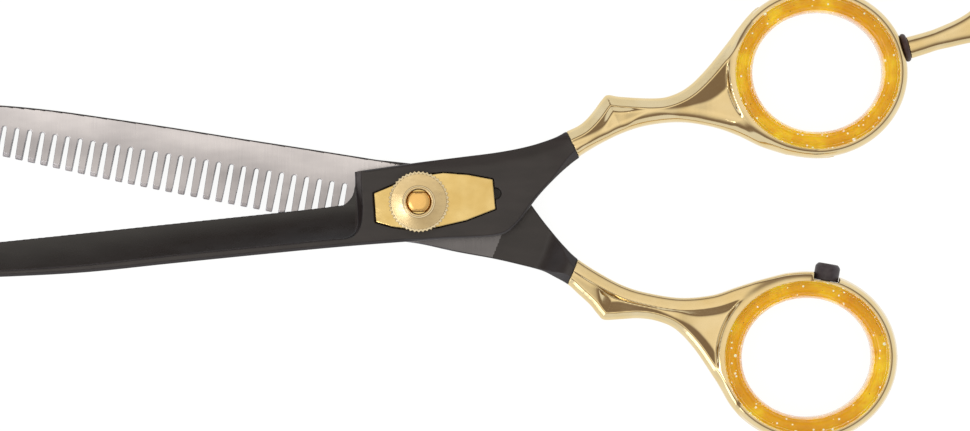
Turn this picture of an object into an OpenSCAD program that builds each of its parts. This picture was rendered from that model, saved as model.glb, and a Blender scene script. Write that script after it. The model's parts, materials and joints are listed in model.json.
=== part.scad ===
// Thinning shears with a leaf-spring tension pivot, gold handles and soft ring inserts.
// Frame: the pivot axis is Z, the shears lie on the plane z = 0, and the rings point along +X.
// Both halves are drawn part open, the solid blade on top and the toothed blade beneath.

/* [Blades] */
// Height of the plane where the two halves slide on each other
ride_z = 3.4; // [3.2:0.1:3.6]
// Number of slots between the thinning teeth
slot_count = 34; // [20:1:34]
// Distance from one tooth to the next
tooth_pitch = 2.095; // [2:0.005:2.1]
// Width of a slot at its root
slot_root_w = 0.75; // [0.5:0.05:0.9]
// Width of a slot at the tooth tips
slot_tip_w = 1.15; // [0.9:0.05:1.3]
// Thickness left at the solid blade's cutting edge
edge_t = 0.25; // [0.15:0.05:0.4]
// Thickness left at the tooth tips
tooth_t = 0.8; // [0.6:0.1:1]

/* [Pivot] */
// Radius of the bolt where the halves turn on it
bolt_r = 2.5; // [2.3:0.1:2.7]
// Radius of the bolt head
head_r = 4.3; // [4:0.1:4.4]
// Radius of the threaded end of the bolt
thread_r = 1.9; // [1.7:0.05:2]
// Radius of the knurled nut
nut_r = 5; // [4.6:0.1:5.2]
// Number of ridges round the nut
knurl_count = 44; // [30:1:48]

/* [Rings] */
// Half length of a finger ring, outside
ring_a = 14.85; // [14.6:0.05:15]
// Half width of a finger ring, outside
ring_b = 13.95; // [13.8:0.05:14.1]
// Width of the metal band
band_w = 2.65; // [2.5:0.05:2.75]
// Thickness of the handles
handle_t = 5.4; // [5.2:0.1:5.6]
// Thickness of an insert's wall inside the band
lining = 1.55; // [1.2:0.05:1.8]

/* [Finger rest] */
// Radius of the threaded stud of the screw-in finger rest
stud_r = 1.2; // [1:0.05:1.3]

/* [Hidden] */
$fn = 48;

black = [0.17, 0.165, 0.16];
gold = [0.85, 0.72, 0.42];
steel = [0.75, 0.74, 0.73];
amber = [0.93, 0.66, 0.12, 0.8];
rubber = [0.2, 0.17, 0.17];

run = 0.05;               // running clearance between turning pieces
seat_gap = 0.03;          // clearance between pieces that are seated or bonded
front_low = ride_z + seat_gap;
front_high = ride_z + 3.2;
rear_high = ride_z - seat_gap;
rear_low = ride_z - 2.9;
tip_t = 1.5;              // thickness of both blades' backs at their tips
band_step = 0.25;         // height of the back's band above the hollow-ground face
bevel = 0.35;             // bevel on the outer corner of a blade's back
heel_t = 0.6;

handle_low = ride_z - handle_t / 2;
handle_high = ride_z + handle_t / 2;
break_square = 3;         // squareness of the sections where a shank meets its handle

head_t = 1.3;
bush_r = 3.2;
washer_r = 4.4;
washer_t = 0.4;
thread_flat = 1.5;        // half the distance between the bolt end's two flats
recess_floor = front_high - 0.7;
plate_t = 0.7;
plate_rise = 0.3;         // how far the leaf spring is bowed at the pivot
plate_centre = [2.5, 0];
plate_reach = 10.2;       // distance from the plate's centre to its ends
nut_low = front_high + plate_rise + run;
nut_t = 2;
collar_r = 2.4;
collar_h = 0.25;
bolt_top = nut_low + nut_t + 0.3;

front_ring = [65.2, 21.2];
rear_ring = [63.45, -25.5];
bumper_foot = [66.6, -12.95];
bumper_angle = 80;
bumper_r = 2.05;
bumper_h = 2.95;
bumper_stud_r = 0.8;
bumper_stud_depth = 1.6;
rest_foot = [79.15, 25.1];
rest_angle = 15.5;
rest_washer_r = 2.35;
rest_washer_t = 1.05;
rest_stud_depth = 1.75;

// The solid blade from heel to tip, as pairs of points on its cutting edge and its back.
front_pairs = [[[-9, -0.2], [-9.2, -7.1]], [[-12.4, -0.55], [-13, -7.4]], [[-20, -1.45], [-20, -8.05]],
               [[-30, -2.45], [-30, -9.05]], [[-40, -3.55], [-40, -10.05]], [[-54, -5], [-54, -11.5]],
               [[-66, -6.3], [-66, -12.2]], [[-72, -6.95], [-72, -12.3]], [[-78, -7.55], [-77, -11.85]],
               [[-81.5, -7.85], [-80.5, -11.2]], [[-84, -8.1], [-83, -10.35]], [[-85, -8.2], [-84.6, -9.2]]];
front_heel = [[-12.4, -0.55], [-11.6, 0.1], [-11, 0.9], [-10.7, 1.8], [-10.6, 4.9], [-9.5, 5], [-9.5, -3]];
front_shoulder = [[-10.6, 4.9], [-10.3, 1], [-10.1, -3.8], [-10.6, -5.3], [-11.8, -5.9], [-13, -6.1],
                  [-13, -7.4]];
front_under = [[-13, -7.4], [-1.5, -6.5], [4, -6.1], [9, -5.9], [12.5, -5.6], [14.6, -4.9], [16.6, -3],
               [18.4, -0.5], [20, 1.5], [22, 3.6]];
front_top = [[-10.6, 4.9], [-1, 6.3], [6, 7.2], [13, 8.1], [18, 9.15], [20.5, 9.85]];

// The toothed blade from heel to tip, as pairs on its back and its tooth ends, in its own turned frame.
rear_turn = -10.2;
rear_pairs = [[[-8, 5.55], [-8, -6.2]], [[-20, 5.3], [-20, -6]], [[-31, 5.02], [-31, -5.87]],
              [[-42, 4.8], [-42, -5.7]], [[-52, 4.5], [-52, -5.45]], [[-62, 4.1], [-62, -5.05]],
              [[-70.4, 3.4], [-70, -4.7]], [[-75, 2.6], [-75, -4.5]], [[-79, 1.6], [-79, -4.35]],
              [[-82.3, 0], [-82, -4.25]], [[-84.2, -1.6], [-84.2, -4.2]], [[-85, -3.2], [-84.9, -4.2]]];
first_slot = 12.5;        // distance of the first slot from the pivot
root_line = [0.95, -0.011];   // offset and slope of the line of slot roots
rear_top = [[-9, 7.3], [-1, 6.3], [6, 5.5], [12, 4.5], [15, 3.3], [17, 1.3], [18.4, -0.5], [20, -2.7],
            [21.5, -4.6]];
rear_under = [[-10.5, -5.6], [-6, -6.1], [0, -6.9], [6, -8.2], [12, -9.4], [16, -10.4], [19.5, -11.5]];

// Pairs of points, one on each side of a half, that the shank and the neck pass through.
front_shank = [[[20.4, 9.72], [21.85, 3.68]], [[22, 10.45], [23.8, 5.25]], [[24.1, 11.5], [26.2, 7.2]]];
front_neck = [[[24.1, 11.5], [26.2, 7.2]], [[26, 12.75], [28, 8.35]], [[28, 14.4], [30, 9.45]],
              [[29.5, 16.15], [31.6, 10.25]], [[30.9, 17.5], [33, 10.9]], [[33, 17.25], [34.6, 11.5]],
              [[35.5, 17.05], [36.6, 12.05]], [[38, 17], [38.6, 12.4]], [[41, 17.4], [41.8, 12.75]],
              [[44, 18.8], [45.2, 12.7]], [[47, 21.6], [48.8, 11.95]], [[50, 25.4], [52.5, 10.5]],
              [[52.6, 28.6], [56, 8.8]]];
rear_shank = [[[21.35, -4.65], [19.45, -11.38]], [[23.7, -7.2], [22, -12.4]], [[26, -9.4], [24.3, -13.5]]];
rear_neck = [[[26, -9.4], [24.3, -13.5]], [[28, -10.8], [26, -15.1]], [[29.4, -11.7], [28, -17]],
             [[30.8, -12.4], [29.2, -18.4]], [[32.2, -13.1], [30.2, -19.35]], [[34, -13.9], [33, -19.25]],
             [[36, -14.6], [35.2, -19.1]], [[38, -15.05], [37.4, -19.25]], [[41, -15.6], [39.8, -19.8]],
             [[44.2, -15.75], [42.6, -21.4]], [[47.5, -15.4], [45.2, -24.3]], [[51.6, -14.15], [48.4, -28.9]],
             [[55, -13.1], [51, -32.8]]];

// The finger rest, as pairs on its hollow side and its outer side.
rest_pairs = [[[80.1, 26.95], [80.95, 23.6]], [[82, 27.6], [83, 24.2]], [[84, 28.15], [85, 24.85]],
              [[86, 28.95], [87.2, 25.35]], [[88, 29.85], [89.6, 25.9]], [[90, 31.05], [92.2, 26.4]],
              [[91.8, 32.7], [95, 27.3]], [[93.2, 34.6], [97.6, 28.9]], [[94.3, 36.6], [99.6, 31.3]],
              [[95.4, 38.6], [100.7, 34.2]], [[97, 40.2], [100.9, 37.2]], [[98.6, 40.9], [100.3, 39.3]]];

plate_outline = [[-7.4, 1.4], [-4.3, 2.65], [0, 4.2], [4, 4.7], [8, 4.4], [12.05, 3.65],
                 [12.5, -1.2], [7.7, -3.05], [3.2, -4.1], [-1, -4.5], [-4.3, -4.1], [-7.05, -3.35]];
pry_notch = [12.7, 1.5];
pry_r = 1.15;

// A point of the Catmull-Rom span from b to c.
function span(a, b, c, d, t) =
    0.5 * (2 * b + (c - a) * t + (2 * a - 5 * b + 4 * c - d) * t * t + (3 * b - a - 3 * c + d) * t * t * t);

// A smooth curve through the points p, with n steps for each span.
function curve(p, n = 4) = concat(
    [for (i = [0:len(p) - 2], k = [0:n - 1])
        span(p[max(i - 1, 0)], p[i], p[i + 1], p[min(i + 2, len(p) - 1)], k / n)],
    [p[len(p) - 1]]);

function reversed(p) = [for (i = [len(p) - 1:-1:0]) p[i]];
function power(v, e) = sign(v) * pow(abs(v), e);
function side(pairs, which, n) = curve([for (p = pairs) p[which]], n);
function mix(a, b, t) = a + (b - a) * t;
function lifted(p, z) = [p[0], p[1], z];

// One rounded cross-section between the points a and b, from z = low to z = high.
function section(a, b, low, high, squareness, n = 16) =
    let (mid = (a + b) / 2, half = (b - a) / 2, zc = (low + high) / 2, zh = (high - low) / 2, e = 2 / squareness)
    [for (i = [0:n - 1]) lifted(mid + half * power(cos(360 * i / n), e), zc + zh * power(sin(360 * i / n), e))];

// A closed skin over rings of points; it ends in flat caps, or closes on itself as a loop.
module skin(rings, loop = false) {
    n = len(rings[0]);
    m = len(rings);
    sides = [for (i = [0:loop ? m - 1 : m - 2], j = [0:n - 1])
        let (a = i * n + j, b = i * n + (j + 1) % n, c = (i + 1) % m * n + (j + 1) % n, d = (i + 1) % m * n + j)
        each [[a, b, c], [a, c, d]]];
    caps = loop ? [] : [[for (j = [n - 1:-1:0]) j], [for (j = [0:n - 1]) (m - 1) * n + j]];
    polyhedron([for (r = rings) each r], concat(sides, caps), convexity = 8);
}

// Places its children at a foot point on a ring's edge, with +Z pointing away from the ring.
module at_foot(foot, angle) {
    translate([foot[0], foot[1], ride_z])
        rotate([0, 0, angle])
            rotate([0, 90, 0])
                children();
}

module bore(r, low, high) {
    translate([0, 0, low])
        cylinder(r = r, h = high - low);
}

// The ground part of the solid blade: flat on the ride face, hollow-ground to the edge, banded at its back.
module solid_blade() {
    edge = side(front_pairs, 0, 2);
    back = side(front_pairs, 1, 2);
    last = len(edge) - 1;
    skin([for (i = [0:last]) let (
            t = i / last,
            high = front_low + mix(front_high - front_low, tip_t, t),
            band = mix(1.3, 0.8, t) / norm(edge[i] - back[i]),
            line = mix(back[i], edge[i], band),
            corner = mix(back[i], edge[i], band / 4))
        [lifted(edge[i], front_low), lifted(edge[i], front_low + edge_t), lifted(line, high - band_step),
         lifted(mix(back[i], edge[i], band * 0.85), high), lifted(corner, high),
         lifted(back[i], high - bevel), lifted(back[i], front_low)]]);
}

// The shank, where a half grows from its own layer to the full thickness of its handle.
module shank(pairs, low, high) {
    a = side(pairs, 0, 3);
    b = side(pairs, 1, 3);
    last = len(a) - 1;
    skin([for (i = [0:last]) let (t = i / last)
        section(a[i], b[i], mix(low, handle_low, t), mix(high, handle_high, t), mix(8, break_square, t))]);
}

module front_body_outline() {
    polygon(concat(curve(front_top, 3), reversed(curve(front_under, 3)), reversed(curve(front_shoulder, 3))));
}

module front_blade() {
    color(black)
        difference() {
            union() {
                solid_blade();
                translate([0, 0, front_low])
                    linear_extrude(heel_t)
                        polygon(front_heel);
                translate([0, 0, front_low])
                    linear_extrude(front_high - front_low)
                        front_body_outline();
                shank(front_shank, front_low, front_high);
            }
            bore(bolt_r + seat_gap, 0, front_high + 1);
            bore(washer_r + seat_gap, 0, front_low + washer_t);
            translate([0, 0, recess_floor])
                linear_extrude(2)
                    plate_shape(1.015);
            translate([pry_notch[0], pry_notch[1], recess_floor])
                cylinder(r = pry_r, h = 2, $fn = 24);
        }
}

// The neck and the web that carries a ring, joined to the ring's band.
module handle(pairs, centre, foot, angle, hole_r, hole_depth, spot_r) {
    a = side(pairs, 0, 2);
    b = side(pairs, 1, 2);
    last = len(a) - 1;
    color(gold)
        difference() {
            resize([0, 0, handle_t])
                difference() {
                    union() {
                        difference() {
                            skin([for (i = [0:last])
                                section(a[i], b[i], handle_low, handle_high, mix(break_square, 5, i / last))]);
                            ring_hole(centre, 3 * seat_gap - band_w / 2);
                        }
                        ring_sweep(centre, band_profile(0));
                    }
                    ring_hole(centre, seat_gap - band_w);
                }
            at_foot(foot, angle) {
                translate([0, 0, -hole_depth])
                    cylinder(r = hole_r, h = hole_depth + 1, $fn = 32);
                cylinder(r = spot_r, h = 2, $fn = 32);
            }
        }
}

module front_handle() {
    handle(front_neck, front_ring, rest_foot, rest_angle, stud_r + run, rest_stud_depth + run, rest_washer_r + 0.2);
}

module rear_handle() {
    handle(rear_neck, rear_ring, bumper_foot, bumper_angle, bumper_stud_r + seat_gap,
           bumper_stud_depth + seat_gap, bumper_r + 0.2);
}

// Half of a ring's cross-section runs from its outer edge at 0 inwards to -band_w.
function band_profile(grow, from = 0, to = 330, steps = 12) =
    [for (i = [0:steps - 1]) let (t = mix(from, to, i / (steps - 1)))
        [-band_w / 2 + (band_w / 2 + grow) * power(cos(t), 0.7), (handle_t / 2 + grow) * power(sin(t), 0.7)]];

// Sweeps a cross-section round the ellipse of a ring.
module ring_sweep(centre, profile, steps = 60) {
    skin([for (i = [0:steps - 1]) let (t = 360 * i / steps)
        [for (p = profile) [centre[0] + (ring_a + p[0]) * cos(t), centre[1] + (ring_b + p[0]) * sin(t),
                            ride_z + p[1]]]], loop = true);
}

module ring_hole(centre, inside) {
    translate([centre[0], centre[1], -1])
        linear_extrude(12)
            polygon([for (i = [0:59]) [(ring_a + inside) * cos(6 * i), (ring_b + inside) * sin(6 * i)]]);
}

// A soft insert lines the ring and laps over the band on both faces.
module ring_insert(centre) {
    wall = -band_w - lining;
    crown = ride_z;
    over = [for (p = curve([[-band_w / 2, handle_t / 2 + 0.2], [-band_w + 0.35, crown - 0.05],
                            [-band_w - 0.15, crown], [wall + 0.45, crown - 0.35], [wall, crown - 1.3]], 2))
        [p[0], min(p[1], crown)]];
    under = reversed([for (p = over) [p[0], -p[1]]]);
    groove = reversed(band_profile(seat_gap, 90, 270, 9));
    color(amber)
        ring_sweep(centre, concat(over, under, groove));
}

module front_ring_insert() {
    ring_insert(front_ring);
}

module rear_ring_insert() {
    ring_insert(rear_ring);
}

module finger_rest() {
    a = side(rest_pairs, 0, 2);
    b = side(rest_pairs, 1, 2);
    last = len(a) - 1;
    color(gold)
        union() {
            skin([for (i = [0:last]) let (half = mix(1.75, 1.3, i / last))
                section(a[i], b[i], ride_z - half, ride_z + half, 2.4)]);
            at_foot(rest_foot, rest_angle) {
                translate([0, 0, rest_washer_t + seat_gap])
                    cylinder(r = 1.7, h = 1.2);
                translate([0, 0, -rest_stud_depth])
                    cylinder(r = stud_r, h = rest_stud_depth + rest_washer_t + 0.5);
            }
        }
}

module finger_rest_washer() {
    soft = 0.25;
    inner = stud_r + run;
    color(rubber)
        at_foot(rest_foot, rest_angle)
            rotate_extrude()
                polygon([[inner, seat_gap], [rest_washer_r - soft, seat_gap], [rest_washer_r, seat_gap + soft],
                         [rest_washer_r, rest_washer_t - soft], [rest_washer_r - soft, rest_washer_t],
                         [inner, rest_washer_t]]);
}

// One slot between two teeth, open downwards from its rounded root.
module slot() {
    root = slot_root_w / 2;
    translate([0, -root, 0])
        linear_extrude(10)
            union() {
                circle(r = root, $fn = 12);
                polygon([[-root, 0], [-slot_tip_w / 2, -9], [slot_tip_w / 2, -9], [root, 0]]);
            }
}

// The ground part of the toothed blade: flat on the ride face, thinned towards the tooth ends.
module toothed_blade() {
    back = side(rear_pairs, 0, 2);
    ends = side(rear_pairs, 1, 2);
    last = len(back) - 1;
    difference() {
        skin([for (i = [0:last]) let (
                t = i / last,
                low = rear_high - mix(rear_high - rear_low, tip_t, t),
                corner = mix(back[i], ends[i], 0.06),
                waist = mix(back[i], ends[i], 0.35))
            [lifted(back[i], rear_high), lifted(ends[i], rear_high), lifted(ends[i], rear_high - tooth_t),
             lifted(waist, low), lifted(corner, low), lifted(back[i], low + bevel)]]);
        for (i = [0:slot_count - 1]) {
            along = first_slot + i * tooth_pitch;
            translate([-along, root_line[0] + root_line[1] * along, -1])
                slot();
        }
    }
}

module rear_blade() {
    color(steel)
        difference() {
            union() {
                rotate([0, 0, rear_turn])
                    toothed_blade();
                translate([0, 0, rear_low])
                    linear_extrude(rear_high - rear_low)
                        polygon(concat(curve(rear_top, 3), reversed(curve(rear_under, 3))));
                shank(rear_shank, rear_low, rear_high);
            }
            bore(bush_r + seat_gap, 0, ride_z);
            bore(head_r + 0.15, 0, head_t + run);
        }
}

// The stop that the front ring closes on.
module bumper() {
    soft = 0.5;
    color(rubber)
        at_foot(bumper_foot, bumper_angle)
            difference() {
                rotate_extrude()
                    polygon([[0, seat_gap], [bumper_r, seat_gap], [bumper_r, bumper_h - soft],
                             [bumper_r - 0.15, bumper_h - 0.15], [bumper_r - soft, bumper_h], [0, bumper_h]]);
                cylinder(r = bumper_stud_r + seat_gap, h = 2 + seat_gap, $fn = 32);
            }
}

module bumper_stud() {
    color(steel)
        at_foot(bumper_foot, bumper_angle)
            translate([0, 0, -bumper_stud_depth])
                cylinder(r = bumper_stud_r, h = bumper_stud_depth + 2, $fn = 32);
}

// The bolt holds both halves; two flats on its threaded end key it to the leaf spring.
module pivot_bolt() {
    chamfer = 0.3;
    color(steel)
        union() {
            rotate_extrude()
                polygon([[0, 0], [head_r - chamfer, 0], [head_r, chamfer], [head_r, head_t], [bolt_r, head_t],
                         [bolt_r, recess_floor - run], [0, recess_floor - run]]);
            intersection() {
                rotate_extrude()
                    polygon([[0, head_t], [thread_r, head_t], [thread_r, bolt_top - chamfer],
                             [thread_r - chamfer, bolt_top], [0, bolt_top]]);
                translate([-thread_r, -thread_flat, 0])
                    cube([2 * thread_r, 2 * thread_flat, bolt_top]);
            }
        }
}

// The bush is pressed into the rear half and turns on the bolt.
module pivot_bush() {
    color("goldenrod")
        difference() {
            bore(bush_r, head_t + run, rear_high);
            bore(bolt_r + run, 0, ride_z);
        }
}

// The washer sits in a pocket of the front half and slides on the rear half.
module friction_washer() {
    color("white")
        difference() {
            bore(washer_r, rear_high + 0.01, front_low + washer_t - seat_gap);
            bore(bolt_r + run, 0, ride_z + 2);
        }
}

module plate_shape(grow = 1) {
    translate(plate_centre)
        scale(grow)
            translate(-plate_centre)
                polygon(curve(concat(plate_outline, [plate_outline[0]]), 1));
}

// Height of the leaf spring's upper face at a distance u from its middle.
function plate_face(u) = recess_floor + plate_t + plate_rise * (1 - pow(u / plate_reach, 2));

// The leaf spring is bowed up under the nut, and two flats in its hole hold the bolt.
module tension_plate() {
    color(gold)
        difference() {
            intersection() {
                translate([0, 0, recess_floor])
                    linear_extrude(2)
                        plate_shape();
                translate([0, 10, 0])
                    rotate([90, 0, 0])
                        linear_extrude(20)
                            plate_side();
            }
            intersection() {
                bore(thread_r + run, recess_floor - 1, nut_low);
                translate([-3, -thread_flat - run, recess_floor - 1])
                    cube([6, 2 * (thread_flat + run), 4]);
            }
        }
}

module plate_side() {
    steps = [for (i = [-8:8]) plate_reach * i / 8];
    upper = [for (u = steps) [plate_centre[0] + u, plate_face(u)]];
    lower = [for (u = reversed(steps)) [plate_centre[0] + u, max(recess_floor, plate_face(u) - plate_t)]];
    polygon(concat(upper, lower));
}

// The knurled nut sets how hard the leaf spring presses.
module tension_nut() {
    tooth = 0.22;
    bevel_w = 0.5;
    high = nut_low + nut_t;
    color(gold)
        difference() {
            union() {
                intersection() {
                    translate([0, 0, nut_low])
                        linear_extrude(nut_t)
                            polygon([for (i = [0:2 * knurl_count - 1])
                                let (t = 180 * i / knurl_count, r = nut_r - tooth * (i % 2)) [r * cos(t), r * sin(t)]]);
                    rotate_extrude()
                        polygon([[0, nut_low], [nut_r - bevel_w, nut_low], [nut_r + 0.1, nut_low + bevel_w],
                                 [nut_r + 0.1, high - bevel_w], [nut_r - bevel_w, high], [0, high]]);
                }
                bore(collar_r, high - 0.5, high + collar_h);
            }
            bore(thread_r + run, 0, high + 1);
        }
}

front_blade();
front_handle();
front_ring_insert();
finger_rest();
finger_rest_washer();
rear_blade();
rear_handle();
rear_ring_insert();
bumper();
bumper_stud();
pivot_bolt();
pivot_bush();
friction_washer();
tension_plate();
tension_nut();
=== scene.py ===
"""Looks of the thinning shears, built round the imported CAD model.

Lengths are millimetres in the row frame unless said otherwise; meshes are written in metres.
"""
import json
import math

import bpy
import numpy as np
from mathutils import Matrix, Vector


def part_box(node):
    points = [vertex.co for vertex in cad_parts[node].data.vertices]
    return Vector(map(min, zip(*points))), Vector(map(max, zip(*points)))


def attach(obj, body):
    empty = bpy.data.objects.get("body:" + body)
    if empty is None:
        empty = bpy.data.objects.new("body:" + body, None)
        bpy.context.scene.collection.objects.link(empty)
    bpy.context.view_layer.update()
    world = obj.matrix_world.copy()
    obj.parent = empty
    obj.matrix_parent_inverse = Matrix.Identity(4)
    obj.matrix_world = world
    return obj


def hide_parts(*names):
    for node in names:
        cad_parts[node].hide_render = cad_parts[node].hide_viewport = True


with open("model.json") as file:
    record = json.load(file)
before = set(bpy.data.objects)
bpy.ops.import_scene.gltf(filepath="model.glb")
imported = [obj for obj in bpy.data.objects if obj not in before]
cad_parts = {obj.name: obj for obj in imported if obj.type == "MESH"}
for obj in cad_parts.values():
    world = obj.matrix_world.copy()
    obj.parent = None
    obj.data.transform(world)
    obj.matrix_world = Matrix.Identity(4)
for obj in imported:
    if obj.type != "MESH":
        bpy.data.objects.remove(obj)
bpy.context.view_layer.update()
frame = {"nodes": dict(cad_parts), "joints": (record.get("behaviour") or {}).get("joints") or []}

MM = 0.001
COARSE = 1.0  # how much wider the carving grids' steps are


def box_mm(node):
    """A CAD node's lowest and highest corners, in millimetres."""
    low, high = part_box(node)
    return np.array(low) / MM, np.array(high) / MM


def z_span(node):
    """A CAD node's lowest and highest z, in millimetres."""
    low, high = box_mm(node)
    return low[2], high[2]


# -------------------- driving values, most from the frame

INSERT_LOW, INSERT_HIGH = z_span("front_ring_insert")
HANDLE_LOW, HANDLE_HIGH = z_span("front_handle")
NUT_LOW, NUT_HIGH = z_span("tension_nut")
PLATE_LOW, PLATE_HIGH = z_span("tension_plate")
BOLT_LOW, BOLT_HIGH = z_span("pivot_bolt")
WASHER_LOW, WASHER_HIGH = z_span("friction_washer")
REAR_LOW = z_span("rear_blade")[0]
FRONT_HIGH = z_span("front_blade")[1]
WASHER_SUNK, WASHER_GAP = 0.37, 0.01
FRONT_LOW = WASHER_HIGH - WASHER_SUNK
REAR_HIGH = WASHER_LOW - WASHER_GAP
MID_Z = (HANDLE_LOW + HANDLE_HIGH) / 2
HALF_T = (HANDLE_HIGH - HANDLE_LOW) / 2
NUT_R = box_mm("tension_nut")[1][0]
HEAD_R = box_mm("pivot_bolt")[1][0]
BUSH_R = box_mm("pivot_bush")[1][0]
WASHER_R = box_mm("friction_washer")[1][0]
SHANK_R, THREAD_R = 2.5, 1.9
SEAT_GAP = 0.03


def ring_of(node):
    """The centre and the two outer radii of a ring's insert."""
    low, high = box_mm(node)
    return (low[:2] + high[:2]) / 2, (high[:2] - low[:2]) / 2


BAND_W = 2.65  # the gold band's width, seen along Z
LINING = 1.55  # the insert's thickness inside the band
LIP = BAND_W / 2  # how far inside the band's outer edge the insert ends
FRONT_RING, INSERT_RADII = ring_of("front_ring_insert")
REAR_RING = ring_of("rear_ring_insert")[0]
RING_A, RING_B = INSERT_RADII + LIP
REST_JOINT = next(j for j in frame["joints"] if j["name"] == "finger_rest_turn")
REST_FOOT = np.array(REST_JOINT["pos_m"]) / MM
REST_AXIS = np.array(REST_JOINT["axis"], float)
REST_ANGLE = math.atan2(REST_AXIS[1], REST_AXIS[0])

# -------------------- outlines; curve() smooths all but the plate and breaks

FRONT_EDGE = [(-85, -8.2), (-84, -8.1), (-66, -6.3), (-40, -3.55), (-20, -1.45), (-12.4, -0.55)]
FRONT_HEEL = [(-12.4, -0.55), (-11.6, 0.1), (-11, 0.9), (-10.7, 1.8), (-10.55, 3), (-10.6, 4.9)]
FRONT_BACK = [(-85, -8.2), (-84.6, -9.2), (-83, -10.35), (-80.5, -11.2), (-77, -11.85), (-72, -12.3),
              (-66, -12.2), (-54, -11.5), (-40, -10.05), (-20, -8.05), (-10, -7.15), (-1.5, -6.5),
              (4, -6.1), (9, -5.9), (12.5, -5.6), (14.6, -4.9), (16.6, -3), (18.4, -0.5), (20, 1.5),
              (22, 3.6), (23.8, 5.3), (26.2, 7.2)]
FRONT_TOP = [(-10.6, 4.9), (-1, 6.3), (6, 7.2), (13, 8.1), (18, 9.1), (22, 10.4), (24.1, 11.5)]
FRONT_SHOULDER = [(-10.35, 6), (-10.35, 3), (-10, -2.4), (-10.1, -4.2), (-10.7, -5.3), (-11.9, -5.95),
                  (-14, -6.15), (-20, -6.75), (-40, -8.75), (-54, -10.3), (-66, -11.15), (-72, -11.4),
                  (-77, -11.1), (-80.5, -10.5), (-83, -9.7), (-84.6, -8.7), (-86, -7.5)]
FRONT_BREAK = ((24.1, 11.5), (26.2, 7.2))
FRONT_NECK_TOP = [(24.1, 11.5), (26, 12.4), (27.3, 13.4), (28.6, 14.9), (30, 16.8), (30.9, 17.5), (33, 17.2),
                  (38, 16.95), (41, 17.3), (44, 18.8), (47, 21.7), (50, 25.4), (52, 28)]
FRONT_NECK_LOW = [(26.2, 7.2), (30, 9.5), (34, 11.35), (38, 12.45), (43, 12.85), (48, 12.1), (52, 10.75),
                  (56, 8.85), (60, 7.6)]
REAR_NECK_TOP = [(26, -9.4), (30, -11.95), (34, -13.95), (38, -15.05), (43, -15.75), (48, -15.3),
                 (52, -14), (56, -12.75), (60, -11.8)]
REAR_NECK_LOW = [(24.3, -13.5), (26, -15.05), (28, -16.9), (29.3, -18.5), (30.3, -19.35), (33, -19.25),
                 (36, -19.1), (39, -19.55), (42, -20.9), (45, -24), (48, -28.4)]
REAR_BREAK = ((26, -9.4), (24.3, -13.5))
REAR_SHANK_TOP = [(6, 5.5), (12, 4.5), (15, 3.3), (17, 1.3), (18.4, -0.5), (20, -2.7), (21.5, -4.6),
                  (23.7, -7.2), (26, -9.4)]
REAR_SHANK_LOW = [(-10.5, -5.5), (-6, -6.1), (0, -6.9), (6, -8.2), (12, -9.3), (16, -10.2), (20, -11.25),
                  (22, -12.2), (24.3, -13.5)]
REAR_TURN = math.radians(-10.2)
REAR_BACK_UV = [(-85, -3.2), (-84.2, -1.6), (-82.3, 0), (-79, 1.6), (-75, 2.6), (-70.4, 3.4), (-62, 4.1),
                (-52, 4.5), (-42, 4.8), (-31, 5.02), (-20, 5.3), (-8, 5.55)]
REAR_ENDS_UV = [(-85, -3.2), (-84.9, -4.1), (-82, -4.2), (-75, -4.5), (-62, -5.05), (-52, -5.45),
                (-42, -5.7), (-31, -5.87), (-20, -6), (-11.5, -6.1)]
PLATE_OUTLINE = np.array([(-7.4, 1.4), (-4.3, 2.65), (-0.5, 4.1), (4, 4.7), (8, 4.4), (12.05, 3.65),
                          (12.5, -1.2), (7.7, -3.05), (3.2, -4.1), (-1, -4.5), (-4.3, -4.1), (-7.05, -3.35)])
REST_TOP = [(77.6, 26.5), (79.7, 26.95), (82, 27.55), (84, 28.15), (86, 28.95), (88, 29.85), (90, 31.05),
            (91.8, 32.7), (93.2, 34.6), (94.3, 36.6), (95.4, 38.6), (97, 40.2), (98.6, 40.8)]
REST_LOW = [(78.5, 22.9), (80.6, 23.45), (83, 24.2), (85, 24.85), (87.2, 25.35), (89.6, 25.9), (92.2, 26.4),
            (95, 27.3), (97.6, 28.9), (99.6, 31.3), (100.7, 34.2), (100.75, 37.2), (100.1, 39.4),
            (98.6, 40.8)]

# -------------------- plane curves


def curve(points, n=8):
    """A Catmull-Rom curve through the points, with n steps in each span."""
    p = np.array(points, float)
    p = np.vstack([p[:1], p, p[-1:]])
    t = (np.arange(n) / n)[:, None]
    spans = []
    for a, b, c, d in zip(p, p[1:], p[2:], p[3:]):
        spans.append(0.5 * (2 * b + (c - a) * t + (2 * a - 5 * b + 4 * c - d) * t**2
                            + (3 * b - a - 3 * c + d) * t**3))
    return np.vstack(spans + [p[-1:]])


def arc(centre, a, b, start, stop, n=150):
    """Part of an ellipse, from the angle start to stop in degrees."""
    t = np.radians(np.linspace(start, stop, n))
    return np.column_stack([centre[0] + a * np.cos(t), centre[1] + b * np.sin(t)])


def turned(p, angle):
    """Plane points turned about the origin."""
    p = np.asarray(p, float)
    c, s = math.cos(angle), math.sin(angle)
    return np.column_stack([p[:, 0] * c - p[:, 1] * s, p[:, 0] * s + p[:, 1] * c])


def distance(x, y, outline):
    """Distance from a closed outline, positive inside it, on a plane grid."""
    best = np.full(np.broadcast(x, y).shape, 1e9, np.float32)
    inside = np.zeros(best.shape, bool)
    for (ax, ay), (bx, by) in zip(outline, np.roll(outline, -1, axis=0)):
        ex, ey = bx - ax, by - ay
        long = ex * ex + ey * ey
        if long < 1e-9:
            continue
        px, py = x - ax, y - ay
        t = np.clip((px * ex + py * ey) / long, 0, 1)
        best = np.minimum(best, (px - t * ex) ** 2 + (py - t * ey) ** 2)
        if ay != by:
            inside ^= ((ay > y) != (by > y)) & (px < py * ex / ey)
    return np.where(inside, 1, -1) * np.sqrt(best)


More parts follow.
